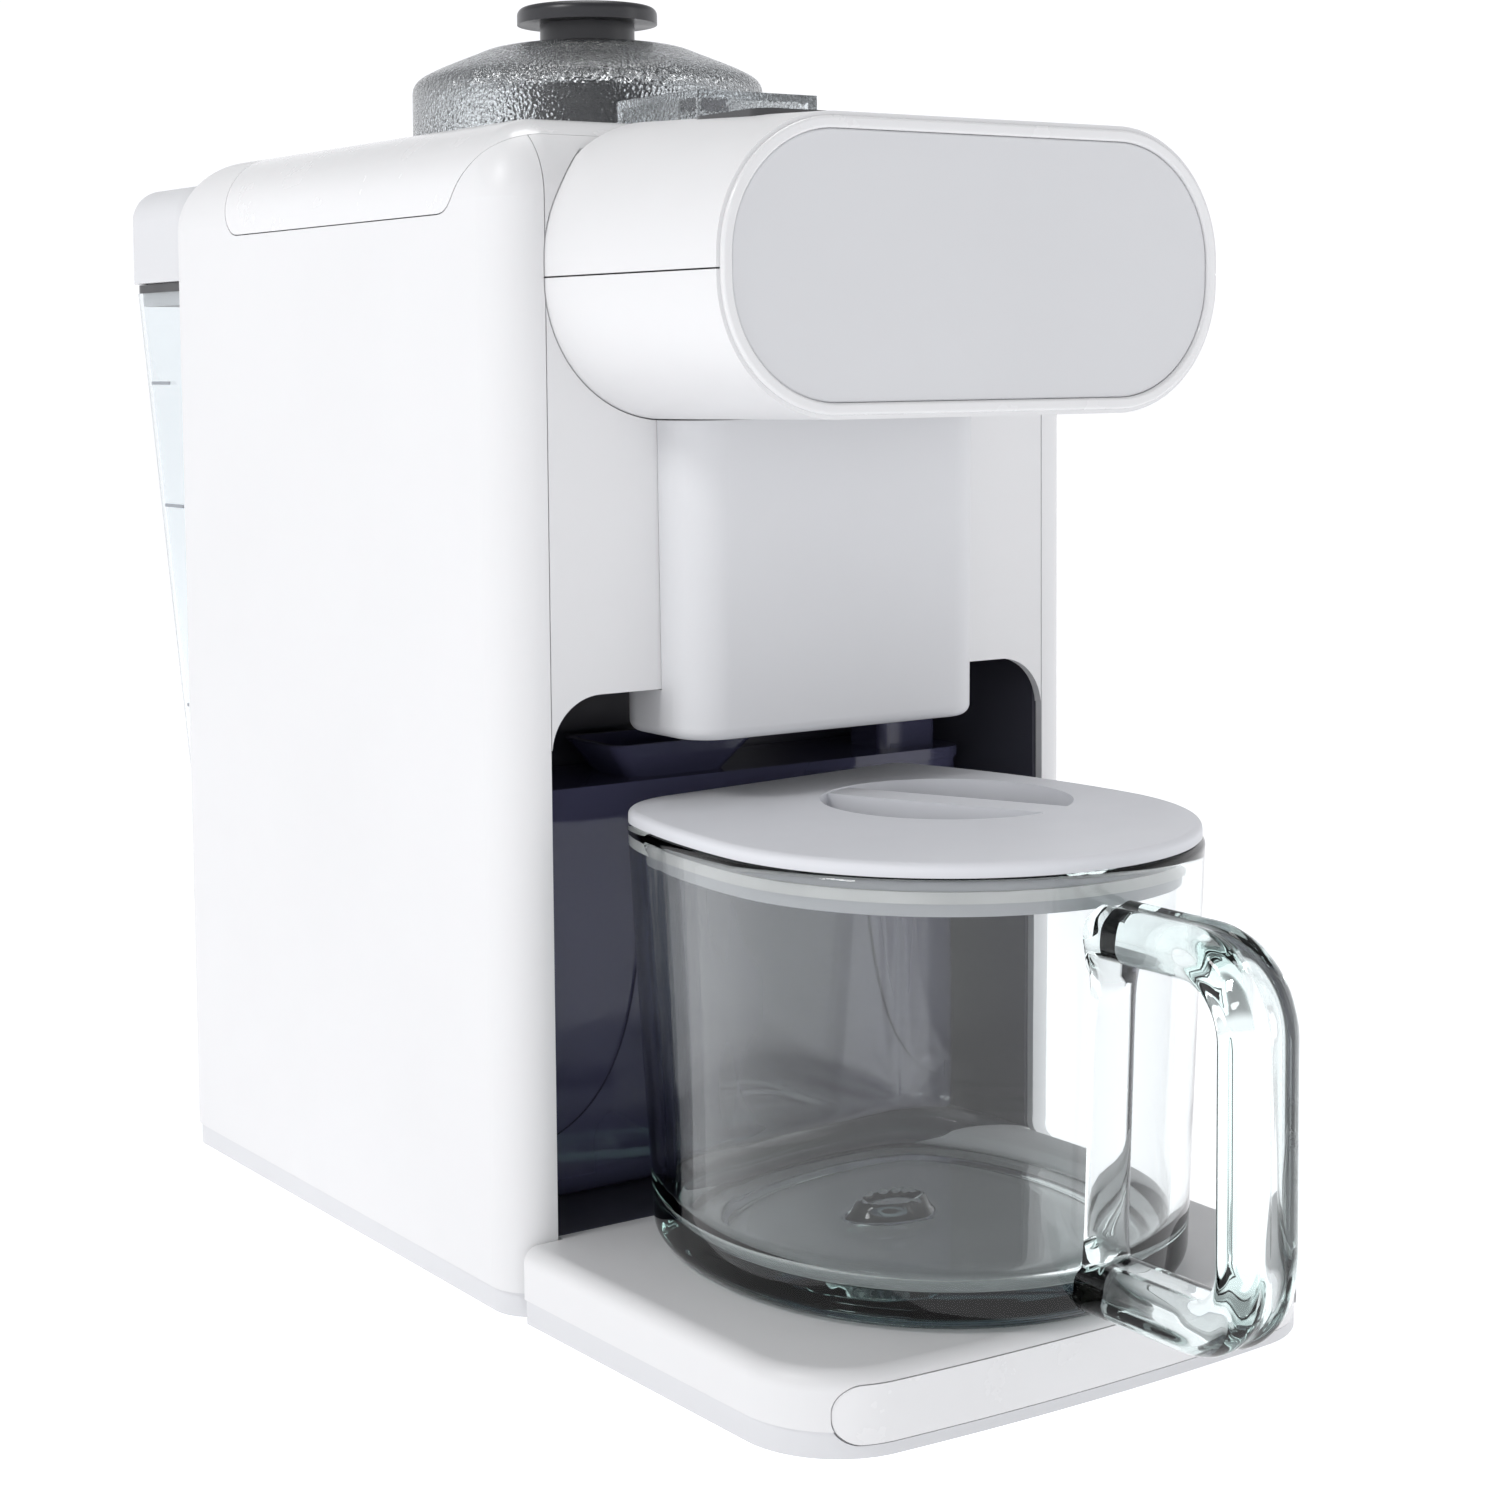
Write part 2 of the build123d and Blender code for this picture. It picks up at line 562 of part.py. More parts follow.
# ================= water tank =================
def tank_body(inset, z0, z1):
    with BuildPart() as p:
        for z in (z0, z1):
            t = (z - TANK_Z0) / (TANK_Z1 - TANK_Z0)
            yb = TANK_BOT_Y + (TANK_TOP_Y - TANK_BOT_Y) * t
            hw = 74 + 6 * t
            with BuildSketch(Plane.XY.offset(z)):
                with Locations((0, (TANK_Y0 + yb) / 2)):
                    RectangleRounded(2 * (hw - inset), yb - TANK_Y0 - 2 * inset, 8 - inset)
        loft()
    return p.part


with BuildPart() as water_tank:
    add(tank_body(0, TANK_Z0, TANK_Z1))
    add(tank_body(2.4, TANK_Z0 + 3, TANK_Z1 + 1), mode=Mode.SUBTRACT)
    rod((0, F + 214.5, TANK_Z0 - 1), 5.1, 6, mode=Mode.SUBTRACT)
save(water_tank, "water_tank")

with BuildPart() as tank_level_marks:
    for zm in (234, 196, 134):
        t = (zm - TANK_Z0) / (TANK_Z1 - TANK_Z0)
        yb = TANK_BOT_Y + (TANK_TOP_Y - TANK_BOT_Y) * t
        hw = 74 + 6 * t
        block(-hw - 0.27, -hw - 0.02, yb - 24, yb - 10, zm - 0.5, zm + 0.5)
        block(hw + 0.02, hw + 0.27, yb - 24, yb - 10, zm - 0.5, zm + 0.5)
save(tank_level_marks, "tank_level_marks")

with BuildPart() as tank_lid:
    yc = (TANK_Y0 - 0.5 + F + 256) / 2
    dy = F + 256 - TANK_Y0 + 0.5
    with BuildSketch(Plane.XY.offset(TANK_Z1 + 3)):
        with Locations((0, yc)):
            RectangleRounded(163, dy, 10)
    extrude(amount=29)
    fillet(tank_lid.edges().group_by(Axis.Z)[-1], 9.5)
    with BuildSketch(Plane.XY.offset(TANK_Z1 + 1)):
        with Locations((0, yc)):
            RectangleRounded(158, dy - 5, 7.5)
    extrude(amount=26, mode=Mode.SUBTRACT)
    with BuildSketch(Plane.XY.offset(TANK_Z1 - 4)):
        with Locations((0, (TANK_Y0 + TANK_TOP_Y) / 2)):
            RectangleRounded(154.0, TANK_TOP_Y - TANK_Y0 - 6, 5)
            RectangleRounded(150.0, TANK_TOP_Y - TANK_Y0 - 10, 4, mode=Mode.SUBTRACT)
    extrude(amount=32)
save(tank_lid, "tank_lid")

with BuildPart() as tank_lid_seal:
    with BuildSketch(Plane.XY.offset(TANK_Z1 + 0.05)):
        with Locations((0, (TANK_Y0 + TANK_TOP_Y) / 2)):
            RectangleRounded(159.0, TANK_TOP_Y - TANK_Y0 - 1, 7)
            RectangleRounded(154.2, TANK_TOP_Y - TANK_Y0 - 5.8, 5.1, mode=Mode.SUBTRACT)
    extrude(amount=2.6)
save(tank_lid_seal, "tank_lid_seal")

with BuildPart() as tank_valve:
    ring(5.05, 2.6, TANK_Z0 - 7.5, TANK_Z0 + 3.5, 0, F + 214.5)
    ring(7.5, 2.6, TANK_Z0 + 3.05, TANK_Z0 + 5, 0, F + 214.5)
    rod((0, F + 214.5, TANK_Z0 - 7.0), 1.2, 12)
    rod((0, F + 214.5, TANK_Z0 + 3.6), 3.2, 2.0)
save(tank_valve, "tank_valve")

with BuildPart() as tank_dock:
    # shelf at the foot of the rear panel that the tank stands in
    block(-76, 76, F + D + 0.05, F + 228, 47, TANK_Z0 - 0.1)
    fillet(tank_dock.edges().filter_by(Axis.Z).group_by(Axis.Y)[-1], 9)
    block(-72, 72, F + D + 2, F + 226, 40, 57, mode=Mode.SUBTRACT)
    ring(9, 5.5, 48, 57.5, 0, F + 214.5)
    rod((0, F + 214.5, 50), 5.5, 20, mode=Mode.SUBTRACT)
    rod((0, F + 206, 52), 3.0, 3, Axis.Y)
    rod((0, F + D - 8, 52), 6.0, 14, Axis.Y)
    rod((0, F + D - 9, 52), 2.6, 22, Axis.Y, mode=Mode.SUBTRACT)
save(tank_dock, "tank_dock")

# ================= grinder lid =================
with BuildPart() as grinder_lid:
    with BuildSketch(Plane.XZ.offset(-GY)):
        with BuildLine():
            Polyline((DOME_R - 3, Z_TOP + 0.3), (DOME_R, Z_TOP + 0.3), (DOME_R, 315))
            Spline((DOME_R, 315), (DOME_R - 4, 320.5), (DOME_R - 17, 326), (13, 330),
                   tangents=[(0, 1), (-1, 0.1)])
            Polyline((13, 330), (13, 326.8))
            Spline((13, 326.8), (DOME_R - 19, 323), (DOME_R - 7, 317.6), (DOME_R - 3, 313),
                   tangents=[(1, -0.1), (0, -1)])
            Line((DOME_R - 3, 313), (DOME_R - 3, Z_TOP + 0.3))
        make_face()
    revolve(axis=Axis((GX, GY, 0), (0, 0, 1)))
    # forward tongue
    with BuildPart():
        block(-19, 19, F + 22, GY - 44, Z_TOP + 0.3, 309)
        block(-17, 17, F + 24, GY - 40, Z_TOP - 1, 307, mode=Mode.SUBTRACT)
        with BuildSketch(Plane.XY.offset(290)):
            with Locations((GX, GY)):
                Circle(DOME_R - 1.5)
        extrude(amount=30, mode=Mode.SUBTRACT)
save(grinder_lid, "grinder_lid")

with BuildPart() as lid_magnet:
    block(-16.5, -8.5, F + 24.5, F + 32.5, 303.6, 306.9)
save(lid_magnet, "lid_magnet")

with BuildPart() as lid_plug:
    ring(20, 0, 284, 325)
    with BuildPart(mode=Mode.SUBTRACT):
        ring(16, 0, 280, 321)
    ring(45.0, 19, 295.2, 298.0)
    ring(12.95, 0, 324.8, 330.0)
save(lid_plug, "lid_plug")

with BuildPart() as lid_seal:
    with BuildSketch(Plane.XZ.offset(-GY)):
        with Locations((44.8, 296.6)):
            Circle(1.9)
        with Locations((42.4, 296.6)):
            Rectangle(5.4, 2.9, mode=Mode.SUBTRACT)
    revolve(axis=Axis((GX, GY, 0), (0, 0, 1)))
save(lid_seal, "lid_seal")

with BuildPart() as lid_knob:
    ring(13.5, 0, 330.1, 335.4)
    ring(20, 0, 335.2, 340)
    fillet(lid_knob.edges().group_by(Axis.Z)[-1], 2.2)
save(lid_knob, "lid_knob")

# ================= grinder, motor, boiler =================
CUP_Z0, CUP_Z1 = 205.0, 286.0
with BuildPart() as grinder_cup:
    with BuildSketch(Plane.XZ.offset(-GY)):
        with BuildLine():
            Polyline((7, CUP_Z0), (26, CUP_Z0))
            ThreePointArc((26, CUP_Z0), (38, CUP_Z0 + 5), (43, CUP_Z0 + 17))
            Polyline((43, CUP_Z0 + 17), (43, CUP_Z1), (48.5, CUP_Z1), (48.5, CUP_Z1 + 0.9),
                     (41.8, CUP_Z1 + 0.9), (41.8, CUP_Z0 + 17.2))
            ThreePointArc((41.8, CUP_Z0 + 17.2), (37.1, CUP_Z0 + 6), (25.8, CUP_Z0 + 1.2))
            Polyline((25.8, CUP_Z0 + 1.2), (7, CUP_Z0 + 1.2), (7, CUP_Z0))
        make_face()
    revolve(axis=Axis((GX, GY, 0), (0, 0, 1)))
save(grinder_cup, "grinder_cup")

with BuildPart() as bearing_housing:
    ring(30, 5.6, 198, CUP_Z0 - 0.05)
    ring(11, 5.6, 190.5, 198)
    ring(6.95, 5.6, CUP_Z0 - 1, CUP_Z0 + 6)
    ring(24, 11, 193, 194.5)
    for a in range(0, 360, 60):
        x, y = GX + 17 * cos(radians(a)), GY + 17 * sin(radians(a))
        rod((x, y, 194), 3, 5)
save(bearing_housing, "bearing_housing")

with BuildPart() as shaft_bearings:
    ring(5.55, 3.05, 191, 196)
    ring(5.55, 3.05, 203, 208)
save(shaft_bearings, "shaft_bearings")

with BuildPart() as shaft_seal:
    ring(6.9, 3.05, CUP_Z0 + 6.05, CUP_Z0 + 8.4)
save(shaft_seal, "shaft_seal")

with BuildPart() as blade_shaft:
    ring(3.0, 0, 176, 224)
save(blade_shaft, "blade_shaft")

with BuildPart() as grinder_blade:
    ring(6.5, 3.0, 214.5, 217)
    for k in range(4):
        a = 90 * k
        lift = 12 if k % 2 else -3
        c = Plane(origin=(GX, GY, 215.8), x_dir=(cos(radians(a)), sin(radians(a)), 0),
                  z_dir=(0, 0, 1)).rotated((0, -lift, 0))
        with BuildSketch(c):
            with BuildLine():
                Polyline((4.5, -3.6), (17, -3.4), (26, 1.5), (17, 3.2), (4.5, 3.6), (4.5, -3.6))
            make_face()
        extrude(amount=0.8, both=True)
    with BuildPart(mode=Mode.SUBTRACT):
        ring(3.0, 0, 205, 230)
save(grinder_blade, "grinder_blade")

with BuildPart() as blade_nut:
    with BuildSketch(Plane.XY.offset(217.2)):
        with Locations((GX, GY)):
            RegularPolygon(5.5, 6)
            Circle(3.0, mode=Mode.SUBTRACT)
    extrude(amount=5)
    ring(5.4, 3.0, 213.6, 214.45)
save(blade_nut, "blade_nut")

with BuildPart() as motor_coupling:
    ring(9, 0, 170, 186)
    with BuildPart(mode=Mode.SUBTRACT):
        ring(3.0, 0, 176, 190)
        ring(3.5, 0, 160, 176.0)
    for a in range(0, 360, 90):
        rod((GX + 9 * cos(radians(a)), GY + 9 * sin(radians(a)), 170), 2, 16, mode=Mode.SUBTRACT)
save(motor_coupling, "motor_coupling")

with BuildPart() as motor_rotor:
    ring(18, 3.5, 92, 134)
    ring(3.5, 0, 68, 175.9)
    ring(9, 3.4, 78, 87)
    for a in range(0, 360, 36):
        c = Plane(origin=(GX, GY, 78), x_dir=(cos(radians(a)), sin(radians(a)), 0),
                  z_dir=(0, 0, 1))
        with BuildSketch(c):
            with Locations((19, 0)):
                Rectangle(22, 1.6)
        extrude(amount=9)
save(motor_rotor, "motor_rotor")

with BuildPart() as motor_stator:
    with BuildSketch(Plane.XY.offset(90)):
        with Locations((GX, GY)):
            RectangleRounded(66, 60, 10)
            Circle(18.6, mode=Mode.SUBTRACT)
    extrude(amount=46)
save(motor_stator, "motor_stator")

with BuildPart() as motor_coils:
    for z0, z1 in ((82, 89.95), (136.05, 142.5)):
        for sx in (-1, 1):
            with BuildSketch(Plane.XY.offset(max(z0, 88.0) if z0 < 90 else z0)):
                with Locations((GX + sx * 25.5, GY)):
                    RectangleRounded(9, 44, 4)
            extrude(amount=(89.95 - 88.0) if z0 < 90 else z1 - z0)
save(motor_coils, "motor_coils")

with BuildPart() as motor_bracket:
    # lower and upper cradles joined by four posts, with a band round the stator
    with BuildSketch(Plane.XY.offset(66)):
        with Locations((GX, GY)):
            RectangleRounded(76, 74, 8)
            Circle(30, mode=Mode.SUBTRACT)
    extrude(amount=4)
    block(GX - 34, GX + 34, GY - 4.5, GY + 4.5, 66, 70)
    rod((GX, GY, 60), 4.0, 20, mode=Mode.SUBTRACT)
    with BuildSketch(Plane.XY.offset(160)):
        with Locations((GX, GY)):
            RectangleRounded(76, 74, 8)
            Circle(12, mode=Mode.SUBTRACT)
    extrude(amount=4)
    for sx in (-1, 1):
        for sy in (-1, 1):
            xs, ys = sorted((sx * 30.5, sx * 34.5)), sorted((GY + sy * 29.5, GY + sy * 33.5))
            block(*xs, *ys, 68, 162)
    with BuildSketch(Plane.XY.offset(104)):
        with Locations((GX, GY)):
            Rectangle(76, 74)
            Rectangle(66.2, 60.2, mode=Mode.SUBTRACT)
    extrude(amount=5)
save(motor_bracket, "motor_bracket")

PX, PY = -40.0, F + 163.5
MOUNTS = [(GX + sx * 33, GY + sy * 30) for sx in (-1, 1) for sy in (-1, 1)]
with BuildPart() as chassis_frame:
    # deck that the bearing housing and the motor hang from, on four legs
    with BuildSketch(Plane.XY.offset(172.05)):
        with Locations((0, GY)):
            RectangleRounded(150, 78, 6)
            Circle(13, mode=Mode.SUBTRACT)
    extrude(amount=4)
    ring(30, 25, 175, 197.95)
    LEGS = [(sx * 68, GY + sy * 33) for sx in (-1, 1) for sy in (-1, 1)]
    for lx, ly in LEGS:
        rod((lx, ly, 8.0), 5, 165)
    for lx in (-68, 68):
        block(lx - 1.5, lx + 1.5, GY - 33, GY + 33, 100, 112)
save(chassis_frame, "chassis_frame")

with BuildPart() as rubber_mounts:
    for mx, my in MOUNTS:
        ring(6, 2.6, 164, 172, mx, my)
    for sx in (-1, 1):
        for sy in (-1, 1):
            ring(4, 0, 8.0, 20, PX + sx * 11, PY + sy * 11)
save(rubber_mounts, "rubber_mounts")

with BuildPart() as boiler:
    bx, by = 34, F + 172
    ring(21, 19.2, 70, 150, bx, by)
    ring(21, 0, 69, 71, bx, by)
    ring(21, 0, 149, 151, bx, by)
    ring(4, 0, 151, 160, bx, by)
    ring(4, 0, 60.2, 69, bx, by)
    rod((9, by, 63.5), 3.2, bx - 11, Axis.X)
save(boiler, "boiler")

with BuildPart() as heater_bands:
    for z in (84, 104, 124):
        ring(23, 21.02, z, z + 9, bx, by)
    ring(46, 43.05, 230, 252)
    for hx in (-16, 16):
        block(hx - 3, hx + 3, GY + 42.7, GY + 49, 236, 246)
save(heater_bands, "heater_bands")

with BuildPart() as boiler_saddle:
    block(bx - 24, bx + 24, by - 22, by + 22, 8, 12)
    for sx in (-1, 1):
        x0, x1 = sorted((bx + sx * 14, bx + sx * 18))
        block(x0, x1, by - 8, by + 8, 11, 68.98)
    block(bx - 18, bx + 18, by - 8, by + 8, 56, 59)
    block(bx - 19, bx - 13, by - 4.2, by + 4.2, 58, 68.99, mode=Mode.SUBTRACT)
save(boiler_saddle, "boiler_saddle")

with BuildPart() as pump:
    block(PX - 16, PX + 16, PY - 16, PY + 16, 20, 66)
    ring(9, 0, 66, 92, PX, PY)
    ring(3.5, 0, 92, 100, PX, PY)
    rod((PX + 16, PY, 52), 3.5, 8, Axis.X)
save(pump, "pump")

with BuildPart() as drain_valve:
    vy = F + 20
    block(-14, 14, vy - 6, vy + 22, 186, 206)
    ring(8, 0, 206, 222, 6, vy + 10)
    rod((0, vy + 22, 200), 3.4, 12, Axis.Y)
    ring(3.4, 0, 185.8, 187, -12, vy + 2)
save(drain_valve, "drain_valve")

def hose(points, bend, r, r_in):
    """Tube swept along straight runs joined by bends, as a private part."""
    with BuildPart() as h:
        with BuildLine():
            path = FilletPolyline(*points, radius=bend)
        with BuildSketch(Plane(origin=path @ 0, z_dir=path % 0)):
            Circle(r)
        sweep()
        with BuildLine():
            bore = FilletPolyline(*points, radius=bend)
        with BuildSketch(Plane(origin=bore @ 0, z_dir=bore % 0)):
            Circle(r_in)
        sweep(mode=Mode.SUBTRACT)
    return h.part


with BuildPart() as hose_set:
    # tank to pump, pump to boiler, boiler to cup, cup to valve side, valve to drain nozzle
    add(hose([(0, F + D - 9.2, 52), (0, PY, 52), (PX + 24.2, PY, 52)], 8, 3.6, 2.4))
    add(hose([(PX, PY, 100.2), (PX, PY, 116), (-6, PY + 8, 116), (-6, by, 63.5), (8.8, by, 63.5)],
             6, 3.2, 2.0))
    add(hose([(bx, by, 160.2), (bx, by, 184), (22, GY + 33.5, 184)], 8, 3.2, 2.0))
    add(hose([(0, vy + 34.4, 200), (0, GY - 44, 200), (0, GY - 34.6, 202)], 4, 4.0, 3.0))
    add(hose([(-12, vy + 2, 185.6), (-12, vy + 2, 177.5), (-22, F + 12, 177.5),
              (-22, F + 12, 170.3)], 3.2, 2.9, 1.9))
save(hose_set, "hose_set")

with BuildPart() as circuit_boards:
    block(-46, 46, PANEL_Y - 13, PANEL_Y + 13, 289.6, 291.2)
    block(30, 38, PANEL_Y - 4, PANEL_Y + 4, 291.2, 292.4)
    block(-40, -28, PANEL_Y - 6, PANEL_Y + 6, 287.8, 289.6)
    for bx in (-42, 42):
        for by in (-10, 10):
            rod((bx, PANEL_Y + by, 291.2), 2.0, 2.3)
    block(-72, -70.4, F + 160, F + 198, 110, 190)
    block(-70.4, -58, F + 166, F + 184, 150, 176)
    block(-70.4, -62, F + 166, F + 190, 118, 134)
    for z in (140, 145):
        rod((-70.4, F + 176, z), 2, 10, Axis.X)
save(circuit_boards, "circuit_boards")

with BuildPart() as mains_inlet:
    block(-64, -32, F + D + 0.05, F + D + 2.2, 18, 44)
    block(-61.6, -34.4, F + D - 20, F + D + 0.2, 20.4, 41.6)
    with BuildSketch(Plane.XZ.offset(-(F + D + 2.2))):
        with Locations((-48, 31)):
            RectangleRounded(24, 17, 4)
    extrude(amount=18, mode=Mode.SUBTRACT)
    for x, z in ((-55, 29), (-48, 33), (-41, 29)):
        block(x - 1, x + 1, F + D - 17, F + D - 5, z - 2, z + 2)
save(mains_inlet, "mains_inlet")
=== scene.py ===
"""Looks of a countertop plant-milk brewer: materials on the CAD nodes, a fine glass jug, studio."""
import json
import math

import bmesh
import bpy
from mathutils import Matrix, Vector


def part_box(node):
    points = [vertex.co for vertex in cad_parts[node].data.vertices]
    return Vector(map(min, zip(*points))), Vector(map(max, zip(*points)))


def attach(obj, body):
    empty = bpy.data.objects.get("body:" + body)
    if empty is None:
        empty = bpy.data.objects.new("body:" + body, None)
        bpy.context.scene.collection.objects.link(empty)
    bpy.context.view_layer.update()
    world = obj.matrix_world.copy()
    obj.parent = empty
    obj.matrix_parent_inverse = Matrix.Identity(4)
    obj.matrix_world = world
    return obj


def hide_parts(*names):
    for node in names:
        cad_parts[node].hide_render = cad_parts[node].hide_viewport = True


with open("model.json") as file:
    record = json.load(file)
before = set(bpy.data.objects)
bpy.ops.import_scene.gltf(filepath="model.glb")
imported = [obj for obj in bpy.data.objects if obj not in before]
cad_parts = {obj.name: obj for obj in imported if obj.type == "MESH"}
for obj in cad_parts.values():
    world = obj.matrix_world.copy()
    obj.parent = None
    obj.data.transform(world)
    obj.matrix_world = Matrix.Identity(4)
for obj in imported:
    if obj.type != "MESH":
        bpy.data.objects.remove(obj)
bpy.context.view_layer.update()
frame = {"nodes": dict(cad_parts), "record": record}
nodes = frame["nodes"]
MM = 0.001

# places taken from the frame, in metres
jug_lo, jug_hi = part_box("jug_glass")
RIM_R = 62.7              # jug radius at the rim, mm
HANDLE_REACH = 0.112      # from the jug's centre to the outside of its handle
JX = jug_lo.x + RIM_R * MM
JY = jug_lo.y + HANDLE_REACH
Z0, RIM = jug_lo.z, jug_hi.z
FRONT_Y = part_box("side_panel_left")[0].y
LID_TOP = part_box("jug_lid")[1].z


# ---------------------------------------------------------------- node helpers
def new_mat(name, color, rough, metallic=0.0):
    m = bpy.data.materials.new(name)
    m.use_nodes = True
    nt = m.node_tree
    b = nt.nodes["Principled BSDF"]
    b.inputs["Base Color"].default_value = (*color, 1)
    b.inputs["Roughness"].default_value = rough
    b.inputs["Metallic"].default_value = metallic
    return m, nt, b


def object_coords(nt):
    return nt.nodes.new("ShaderNodeTexCoord").outputs["Object"]


def noise(nt, scale, detail=4, rough=0.55, stretch=None):
    source = object_coords(nt)
    n = nt.nodes.new("ShaderNodeTexNoise")
    n.inputs["Scale"].default_value = scale
    n.inputs["Detail"].default_value = detail
    n.inputs["Roughness"].default_value = rough
    if stretch:
        mapping = nt.nodes.new("ShaderNodeMapping")
        mapping.inputs["Scale"].default_value = stretch
        nt.links.new(source, mapping.inputs["Vector"])
        source = mapping.outputs["Vector"]
    nt.links.new(source, n.inputs["Vector"])
    return n.outputs["Fac"]


def ramp(nt, src, lo, hi, c0, c1):
    """Colour that runs from c0 at lo to c1 at hi."""
    r = nt.nodes.new("ShaderNodeValToRGB")
    for element, position, color in zip(r.color_ramp.elements, (lo, hi), (c0, c1)):
        element.position = position
        element.color = (*color, 1)
    nt.links.new(src, r.inputs["Fac"])
    return r.outputs["Color"]


def remap(nt, src, a, b, lo=0.3, hi=0.7):
    r = nt.nodes.new("ShaderNodeMapRange")
    r.inputs["From Min"].default_value, r.inputs["From Max"].default_value = lo, hi
    r.inputs["To Min"].default_value, r.inputs["To Max"].default_value = a, b
    nt.links.new(src, r.inputs["Value"])
    return r.outputs["Result"]


def bump(nt, b, src, strength, distance, under=None):
    """Bump on the shader's normal, over another bump if one is given."""
    bp = nt.nodes.new("ShaderNodeBump")
    bp.inputs["Strength"].default_value = strength
    bp.inputs["Distance"].default_value = distance
    nt.links.new(src, bp.inputs["Height"])
    if under:
        nt.links.new(under.outputs["Normal"], bp.inputs["Normal"])
    nt.links.new(bp.outputs["Normal"], b.inputs["Normal"])
    return bp


def tone(c, k):
    return tuple(max(0.0, min(1.0, v * k)) for v in c)


# ---------------------------------------------------------------- material makers
def moulded(name, color, rough, grain=0.06, coat=0.0, edge_lift=0.18):
    """Injection-moulded plastic: fine spark grain, slow tone drift, lighter convex edges."""
    m, nt, b = new_mat(name, color, rough)
    b.inputs["IOR"].default_value = 1.49
    b.inputs["Coat Weight"].default_value = coat
    b.inputs["Coat Roughness"].default_value = 0.12
    b.inputs["Subsurface Weight"].default_value = 0.04
    b.inputs["Subsurface Radius"].default_value = (0.004, 0.003, 0.003)
    body = ramp(nt, noise(nt, 9, 3), 0.25, 0.75, tone(color, 0.975), tone(color, 1.015))
    pointiness = nt.nodes.new("ShaderNodeNewGeometry").outputs["Pointiness"]
    # convex edges are made lighter, towards 1.06 of the tone, by the weight in the last argument
    edge = remap(nt, pointiness, 0.0, 1.0, 0.52, 0.62)
    edge_lift_weight = nt.nodes.new("ShaderNodeMath")
    edge_lift_weight.operation = "MULTIPLY"
    edge_lift_weight.inputs[1].default_value = edge_lift
    nt.links.new(edge, edge_lift_weight.inputs[0])
    mix = nt.nodes.new("ShaderNodeMix")
    mix.data_type = "RGBA"
    color_a, color_b, color_out = mix.inputs[6], mix.inputs[7], mix.outputs[2]
    nt.links.new(edge_lift_weight.outputs[0], mix.inputs["Factor"])
    nt.links.new(body, color_a)
    color_b.default_value = (*tone(color, 1.06), 1)
    nt.links.new(color_out, b.inputs["Base Color"])
    gloss = remap(nt, noise(nt, 70, 5), rough - 0.05, rough + 0.06)
    nt.links.new(gloss, b.inputs["Roughness"])
    wave = bump(nt, b, noise(nt, 24, 2), 0.10, 0.0006)
    bump(nt, b, noise(nt, 2600, 2, 0.7), grain, 0.00025, wave)
    return m


def clear(name, color, rough, ior, tint, density, haze=0.02, pebble=0.0, pebble_scale=260,
          transmission=1.0):
    """Clear or smoky wall: slight haze and waviness, or a pebbled face, over an absorbing volume."""
    m, nt, b = new_mat(name, color, rough)
    b.inputs["Transmission Weight"].default_value = transmission
    b.inputs["IOR"].default_value = ior
    nt.links.new(remap(nt, noise(nt, 38, 3), rough, rough + haze), b.inputs["Roughness"])
    drift = ramp(nt, noise(nt, 14, 2), 0.2, 0.8, tone(color, 0.97), tone(color, 1.0))
    nt.links.new(drift, b.inputs["Base Color"])
    if pebble:
        v = nt.nodes.new("ShaderNodeTexVoronoi")
        v.feature = "SMOOTH_F1"
        v.inputs["Scale"].default_value = pebble_scale
        nt.links.new(object_coords(nt), v.inputs["Vector"])
        bump(nt, b, v.outputs["Distance"], pebble, 0.0012)
    else:
        bump(nt, b, noise(nt, 22, 2), 0.12, 0.0007)
    out = next(n for n in nt.nodes if n.type == "OUTPUT_MATERIAL")
    absorb = nt.nodes.new("ShaderNodeVolumeAbsorption")
    absorb.inputs["Color"].default_value = (*tint, 1)
    absorb.inputs["Density"].default_value = density
    nt.links.new(absorb.outputs["Volume"], out.inputs["Volume"])
    return m


def metal(name, color, rough, brush=(1, 1, 1), strength=0.25, scale=220):
    """Metal with a brushed or cast grain."""
    m, nt, b = new_mat(name, color, rough, 1.0)
    grain = noise(nt, scale, 6, 0.65, brush)
    nt.links.new(remap(nt, grain, rough - 0.08, rough + 0.12), b.inputs["Roughness"])
    nt.links.new(ramp(nt, grain, 0.3, 0.7, tone(color, 0.88), color), b.inputs["Base Color"])
    bump(nt, b, grain, strength, 0.0002)
    return m


def rubber(name, color, rough=0.75):
    m, nt, b = new_mat(name, color, rough)
    b.inputs["Sheen Weight"].default_value = 0.15
    body = ramp(nt, noise(nt, 40, 3), 0.3, 0.7, tone(color, 0.88), tone(color, 1.1))
    nt.links.new(body, b.inputs["Base Color"])
    bump(nt, b, noise(nt, 600, 5, 0.7), 0.25, 0.0004)
    return m


def board(name):
    """Lacquered circuit board with a faint grid of tracks."""
    green = (0.03, 0.16, 0.07)
    m, nt, b = new_mat(name, green, 0.35)
    b.inputs["Coat Weight"].default_value = 0.4
    tracks = nt.nodes.new("ShaderNodeTexBrick")
    tracks.inputs["Scale"].default_value = 90
    tracks.inputs["Color1"].default_value = (*green, 1)
    tracks.inputs["Color2"].default_value = (0.035, 0.19, 0.085, 1)
    tracks.inputs["Mortar"].default_value = (0.10, 0.30, 0.14, 1)
    tracks.inputs["Mortar Size"].default_value = 0.03
    nt.links.new(object_coords(nt), tracks.inputs["Vector"])
    nt.links.new(tracks.outputs["Color"], b.inputs["Base Color"])
    bump(nt, b, tracks.outputs["Fac"], 0.2, 0.0002)
    return m


